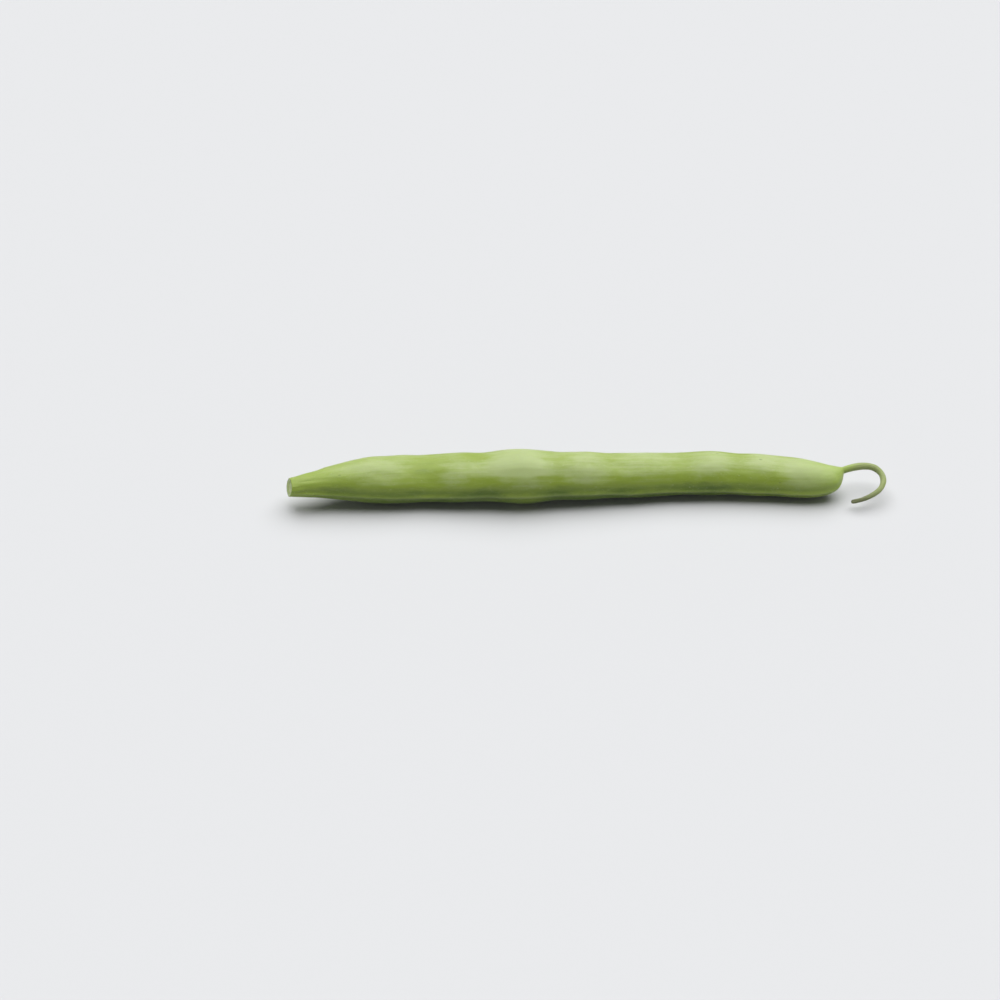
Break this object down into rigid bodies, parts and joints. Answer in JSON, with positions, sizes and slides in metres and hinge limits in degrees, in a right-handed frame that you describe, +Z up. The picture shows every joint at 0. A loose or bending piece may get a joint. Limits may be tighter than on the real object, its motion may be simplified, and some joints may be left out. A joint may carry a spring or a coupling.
{
  "type": "green bean",
  "caption": "Fresh green bean pod lying on its side: gently bowed, swelling over its seeds, a seam along each edge, a blunt cut stem end and a thin tail curled into a hook.",
  "frame": {"origin": "on the surface that the bean lies on, under the middle of its bounding box", "axes": "+X along the pod, from the cut stem end to the tail; +Z up, away from that surface; +Y towards the edge of the pod that the tail leaves from"},
  "size_m": [0.144, 0.0156, 0.0124],
  "materials": {
    "skin": "satin, yellowish green plant skin, a little translucent"
  },
  "bodies": {
    "root": {"pod": "skin"}
  },
  "joints": []
}
